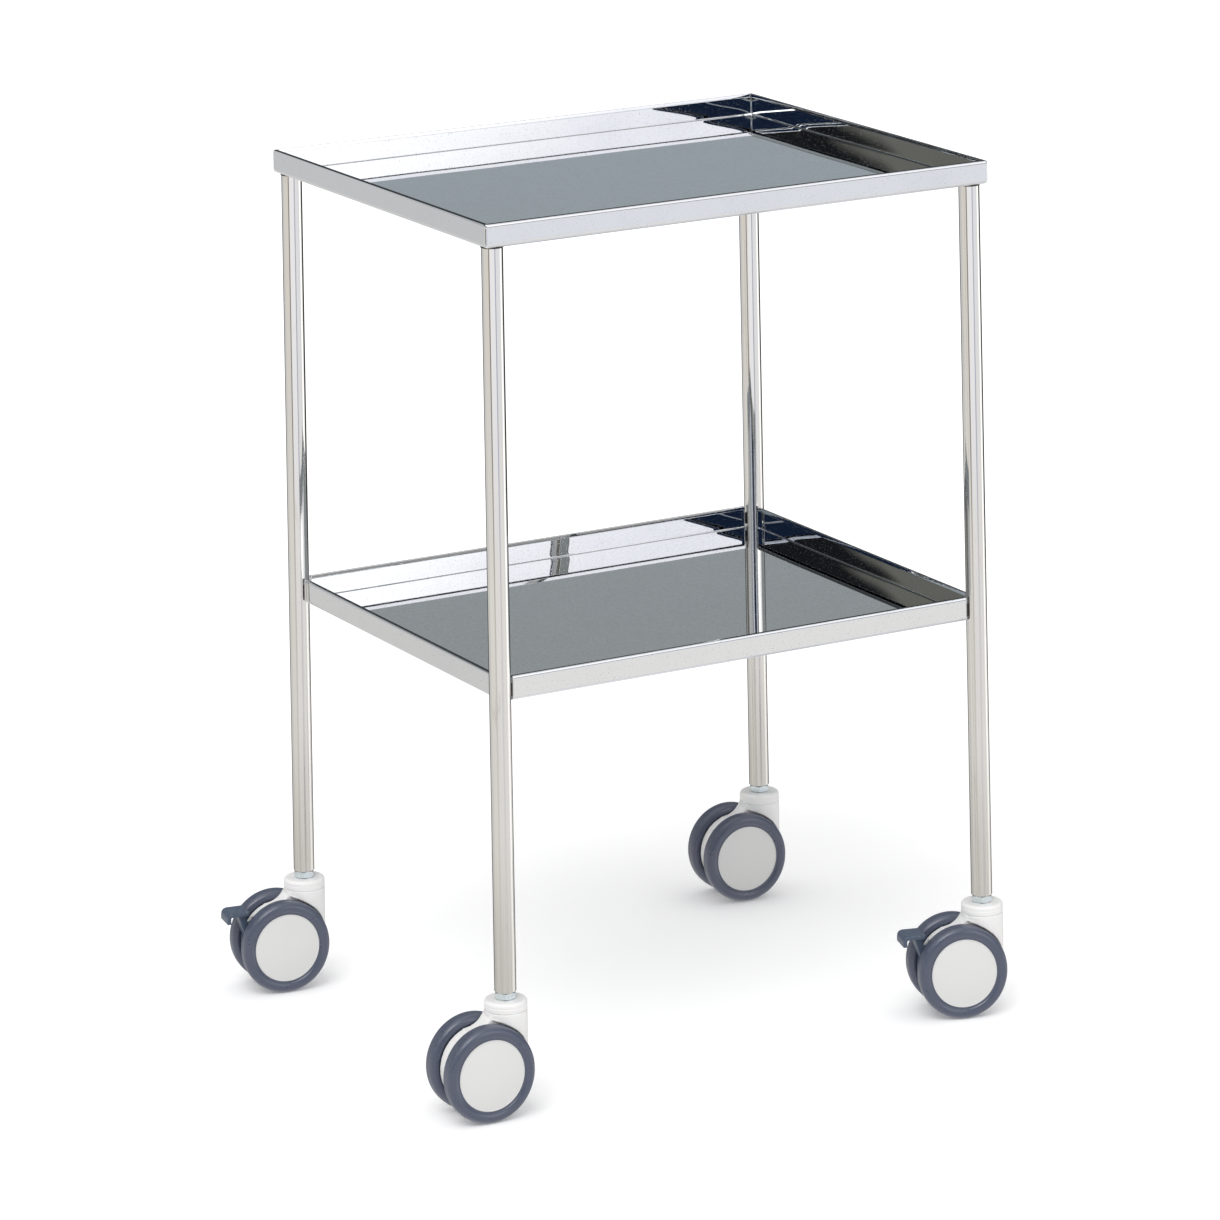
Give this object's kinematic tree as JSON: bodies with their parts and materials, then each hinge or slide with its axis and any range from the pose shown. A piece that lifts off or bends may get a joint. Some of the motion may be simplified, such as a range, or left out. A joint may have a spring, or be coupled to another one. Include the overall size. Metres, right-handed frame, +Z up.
{
  "type": "instrument cart",
  "caption": "Two-tier stainless steel instrument cart: hemmed shallow trays on round tube legs, with twin-wheel swivel casters, some of them braked.",
  "frame": {"origin": "on the floor, under the centre of the top tray and midway between the leg axes", "axes": "+Z up, +X along the long side of the trays, +Y towards the back; at rest the casters trail towards -X, each turned 4 to 16 degrees clockwise from above"},
  "size_m": [0.6865, 0.5372, 0.895],
  "materials": {
    "tray_steel": "mirror-polished stainless sheet",
    "leg_steel": "buffed stainless tube, slightly satin towards the floor",
    "weld": "dressed weld",
    "zinc_steel": "bright zinc plate",
    "bearing_steel": "ground",
    "white_plastic": "moulded, soft gloss",
    "tyre": "blue-grey thermoplastic rubber, satin",
    "pedal_plastic": "blue-grey moulded, satin"
  },
  "bodies": {
    "frame": {"top_tray": "tray_steel", "lower_tray": "tray_steel", "top_welds": "weld", "shelf_welds": "weld", "leg_inserts": "zinc_steel", "caster_stems": "zinc_steel", "stem_nuts": "zinc_steel", "leg_rear_left": "leg_steel", "leg_front_left": "leg_steel", "leg_front_right": "leg_steel", "leg_rear_right": "leg_steel"},
    "caster_rear_left": {"housing_rear_left": "white_plastic", "swivel_cap_rear_left": "white_plastic", "swivel_bearing_rear_left": "bearing_steel", "axle_rear_left": "zinc_steel", "pedal_pin_rear_left": "zinc_steel"},
    "wheel_rear_left_near": {"tyre_rear_left_near": "tyre", "rim_rear_left_near": "white_plastic", "hub_cap_rear_left_near": "white_plastic"},
    "wheel_rear_left_far": {"tyre_rear_left_far": "tyre", "rim_rear_left_far": "white_plastic", "hub_cap_rear_left_far": "white_plastic"},
    "pedal_rear_left": {"brake_pedal_rear_left": "pedal_plastic"},
    "caster_front_left": {"housing_front_left": "white_plastic", "swivel_cap_front_left": "white_plastic", "swivel_bearing_front_left": "bearing_steel", "axle_front_left": "zinc_steel"},
    "wheel_front_left_near": {"tyre_front_left_near": "tyre", "rim_front_left_near": "white_plastic", "hub_cap_front_left_near": "white_plastic"},
    "wheel_front_left_far": {"tyre_front_left_far": "tyre", "rim_front_left_far": "white_plastic", "hub_cap_front_left_far": "white_plastic"},
    "caster_front_right": {"housing_front_right": "white_plastic", "swivel_cap_front_right": "white_plastic", "swivel_bearing_front_right": "bearing_steel", "axle_front_right": "zinc_steel", "pedal_pin_front_right": "zinc_steel"},
    "wheel_front_right_near": {"tyre_front_right_near": "tyre", "rim_front_right_near": "white_plastic", "hub_cap_front_right_near": "white_plastic"},
    "wheel_front_right_far": {"tyre_front_right_far": "tyre", "rim_front_right_far": "white_plastic", "hub_cap_front_right_far": "white_plastic"},
    "pedal_front_right": {"brake_pedal_front_right": "pedal_plastic"},
    "caster_rear_right": {"housing_rear_right": "white_plastic", "swivel_cap_rear_right": "white_plastic", "swivel_bearing_rear_right": "bearing_steel", "axle_rear_right": "zinc_steel"},
    "wheel_rear_right_near": {"tyre_rear_right_near": "tyre", "rim_rear_right_near": "white_plastic", "hub_cap_rear_right_near": "white_plastic"},
    "wheel_rear_right_far": {"tyre_rear_right_far": "tyre", "rim_rear_right_far": "white_plastic", "hub_cap_rear_right_far": "white_plastic"}
  },
  "joints": [
    {"name": "swivel_rear_left", "type": "hinge", "parent": "frame", "child": "caster_rear_left", "pos_m": [-0.285, 0.23, 0.1], "axis": [0, 0, 1], "continuous": true},
    {"name": "roll_rear_left_near", "type": "hinge", "parent": "caster_rear_left", "child": "wheel_rear_left_near", "pos_m": [-0.31709, 0.21281, 0.048], "axis": [0.1564, 0.9877, 0], "continuous": true},
    {"name": "roll_rear_left_far", "type": "hinge", "parent": "caster_rear_left", "child": "wheel_rear_left_far", "pos_m": [-0.3102, 0.25627, 0.048], "axis": [0.1564, 0.9877, 0], "continuous": true},
    {"name": "brake_rear_left", "type": "hinge", "parent": "caster_rear_left", "child": "pedal_rear_left", "pos_m": [-0.33537, 0.23798, 0.068], "axis": [-0.1564, -0.9877, 0], "range_deg": [0, 12]},
    {"name": "swivel_front_left", "type": "hinge", "parent": "frame", "child": "caster_front_left", "pos_m": [-0.285, -0.23, 0.1], "axis": [0, 0, 1], "continuous": true},
    {"name": "roll_front_left_near", "type": "hinge", "parent": "caster_front_left", "child": "wheel_front_left_near", "pos_m": [-0.31546, -0.24992, 0.048], "axis": [0.0698, 0.9976, 0], "continuous": true},
    {"name": "roll_front_left_far", "type": "hinge", "parent": "caster_front_left", "child": "wheel_front_left_far", "pos_m": [-0.31239, -0.20603, 0.048], "axis": [0.0698, 0.9976, 0], "continuous": true},
    {"name": "swivel_front_right", "type": "hinge", "parent": "frame", "child": "caster_front_right", "pos_m": [0.285, -0.23, 0.1], "axis": [0, 0, 1], "continuous": true},
    {"name": "roll_front_right_near", "type": "hinge", "parent": "caster_front_right", "child": "wheel_front_right_near", "pos_m": [0.25106, -0.24315, 0.048], "axis": [0.2756, 0.9613, 0], "continuous": true},
    {"name": "roll_front_right_far", "type": "hinge", "parent": "caster_front_right", "child": "wheel_front_right_far", "pos_m": [0.26319, -0.20086, 0.048], "axis": [0.2756, 0.9613, 0], "continuous": true},
    {"name": "brake_front_right", "type": "hinge", "parent": "caster_front_right", "child": "pedal_front_right", "pos_m": [0.23598, -0.21594, 0.068], "axis": [-0.2756, -0.9613, 0], "range_deg": [0, 12]},
    {"name": "swivel_rear_right", "type": "hinge", "parent": "frame", "child": "caster_rear_right", "pos_m": [0.285, 0.23, 0.1], "axis": [0, 0, 1], "continuous": true},
    {"name": "roll_rear_right_near", "type": "hinge", "parent": "caster_rear_right", "child": "wheel_rear_right_near", "pos_m": [0.25354, 0.2117, 0.048], "axis": [0.1219, 0.9925, 0], "continuous": true},
    {"name": "roll_rear_right_far", "type": "hinge", "parent": "caster_rear_right", "child": "wheel_rear_right_far", "pos_m": [0.2589, 0.25537, 0.048], "axis": [0.1219, 0.9925, 0], "continuous": true}
  ]
}
